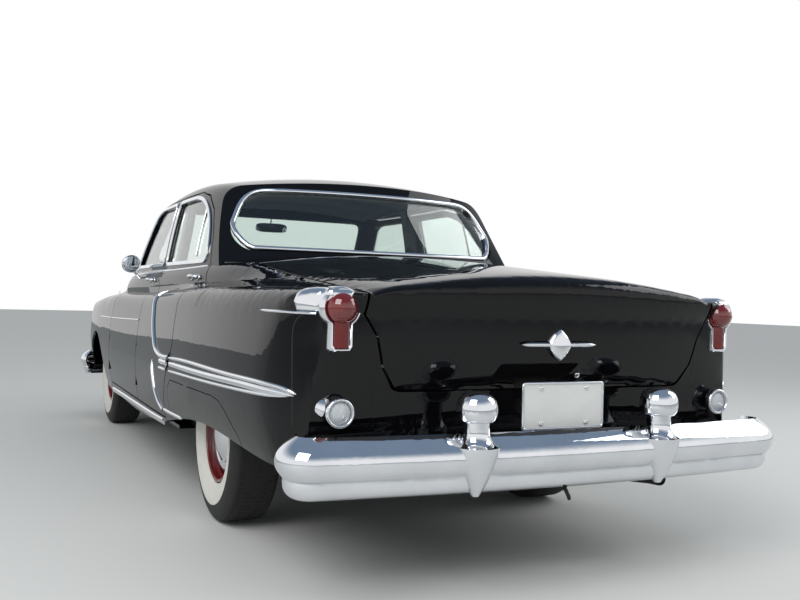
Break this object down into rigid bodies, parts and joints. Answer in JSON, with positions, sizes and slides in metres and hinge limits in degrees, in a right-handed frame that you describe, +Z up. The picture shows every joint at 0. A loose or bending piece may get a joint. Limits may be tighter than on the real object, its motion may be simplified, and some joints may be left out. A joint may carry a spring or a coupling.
{
  "type": "four-door sedan car",
  "caption": "Full-size early-1950s four-door sedan with wheels that roll, front wheels that steer, and doors, hood and trunk lid that open.",
  "frame": {"origin": "on the ground, below the middle of the bounding box", "axes": "+Z up, the front of the car faces -Y, its left side is +X"},
  "size_m": [1.96, 5.461, 1.6022],
  "materials": {
    "black_paint": "gloss black enamel",
    "glass": "clear, slightly green",
    "chrome": "polished chrome plate",
    "lamp_red": "red moulded lens",
    "lamp_clear": "clear fluted lens",
    "plate_white": "blank white enamel",
    "upholstery": "pale green broadcloth",
    "dash_paint": "satin enamel",
    "steering_plastic": "ivory hard plastic",
    "cast_iron": "painted cast iron",
    "tyre": "black rubber with a wide white band",
    "wheel_steel": "maroon rim with a chrome hubcap",
    "chassis_steel": "matt black chassis paint"
  },
  "bodies": {
    "root": {"body_shell": "black_paint", "floor_pan": "chassis_steel", "frame": "chassis_steel", "front_fender_left": "black_paint", "front_fender_right": "black_paint", "rear_fender_left": "black_paint", "rear_fender_right": "black_paint", "tail_panel": "black_paint", "windscreen": "glass", "back_window": "glass", "grille": "chrome", "front_bumper": "chrome", "rear_bumper": "chrome", "headlamps": "lamp_clear", "tail_lamps": "lamp_red", "number_plate": "plate_white", "dashboard": "dash_paint", "front_seat": "upholstery", "rear_seat": "upholstery", "engine": "cast_iron", "rear_axle": "chassis_steel", "front_suspension": "chassis_steel", "exhaust": "chassis_steel"},
    "hood": {"hood": "black_paint"},
    "trunk_lid": {"trunk_lid": "black_paint"},
    "front_door_left": {"front_door_left": "black_paint", "front_door_glass_left": "glass", "mirror": "chrome"},
    "front_door_right": {"front_door_right": "black_paint", "front_door_glass_right": "glass"},
    "rear_door_left": {"rear_door_left": "black_paint", "rear_door_glass_left": "glass"},
    "rear_door_right": {"rear_door_right": "black_paint", "rear_door_glass_right": "glass"},
    "knuckle_left": {"knuckle_left": "chassis_steel"},
    "knuckle_right": {"knuckle_right": "chassis_steel"},
    "steering_wheel": {"steering_wheel": "steering_plastic"},
    "front_wheel_left": {"front_wheel_left": "wheel_steel", "front_tyre_left": "tyre"},
    "front_wheel_right": {"front_wheel_right": "wheel_steel", "front_tyre_right": "tyre"},
    "rear_wheel_left": {"rear_wheel_left": "wheel_steel", "rear_tyre_left": "tyre"},
    "rear_wheel_right": {"rear_wheel_right": "wheel_steel", "rear_tyre_right": "tyre"}
  },
  "joints": [
    {"name": "steer_left", "type": "hinge", "parent": "root", "child": "knuckle_left", "pos_m": [0.68, -1.8805, 0.364], "axis": [0, 0, 1], "range_deg": [-30, 30]},
    {"name": "front_wheel_left_spin", "type": "hinge", "parent": "knuckle_left", "child": "front_wheel_left", "pos_m": [0.7495, -1.8805, 0.364], "axis": [1, 0, 0], "continuous": true},
    {"name": "rear_wheel_left_spin", "type": "hinge", "parent": "root", "child": "rear_wheel_left", "pos_m": [0.7495, 1.2695, 0.364], "axis": [1, 0, 0], "continuous": true},
    {"name": "front_door_left_hinge", "type": "hinge", "parent": "root", "child": "front_door_left", "pos_m": [0.953, -1.13, 0.57], "axis": [0, 0, -1], "range_deg": [0, 65]},
    {"name": "rear_door_left_hinge", "type": "hinge", "parent": "root", "child": "rear_door_left", "pos_m": [0.956, -0.054, 0.57], "axis": [0, 0, -1], "range_deg": [0, 65]},
    {"name": "steer_right", "type": "hinge", "parent": "root", "child": "knuckle_right", "pos_m": [-0.68, -1.8805, 0.364], "axis": [0, 0, 1], "range_deg": [-30, 30]},
    {"name": "front_wheel_right_spin", "type": "hinge", "parent": "knuckle_right", "child": "front_wheel_right", "pos_m": [-0.7495, -1.8805, 0.364], "axis": [1, 0, 0], "continuous": true},
    {"name": "rear_wheel_right_spin", "type": "hinge", "parent": "root", "child": "rear_wheel_right", "pos_m": [-0.7495, 1.2695, 0.364], "axis": [1, 0, 0], "continuous": true},
    {"name": "front_door_right_hinge", "type": "hinge", "parent": "root", "child": "front_door_right", "pos_m": [-0.953, -1.13, 0.57], "axis": [0, 0, 1], "range_deg": [0, 65]},
    {"name": "rear_door_right_hinge", "type": "hinge", "parent": "root", "child": "rear_door_right", "pos_m": [-0.956, -0.054, 0.57], "axis": [0, 0, 1], "range_deg": [0, 65]},
    {"name": "hood_hinge", "type": "hinge", "parent": "root", "child": "hood", "pos_m": [0, -1.191, 1.125], "axis": [-1, 0, 0], "range_deg": [0, 50]},
    {"name": "trunk_hinge", "type": "hinge", "parent": "root", "child": "trunk_lid", "pos_m": [0, 1.245, 1.15], "axis": [1, 0, 0], "range_deg": [0, 50]},
    {"name": "steering_wheel_turn", "type": "hinge", "parent": "root", "child": "steering_wheel", "pos_m": [0.37, -0.56, 0.93], "axis": [0, 0.8524, 0.5228], "range_deg": [-600, 600]}
  ],
  "couplings": [
    {"joint": "steer_right", "follows": "steer_left", "ratio": 1},
    {"joint": "steering_wheel_turn", "follows": "steer_left", "ratio": 20}
  ]
}
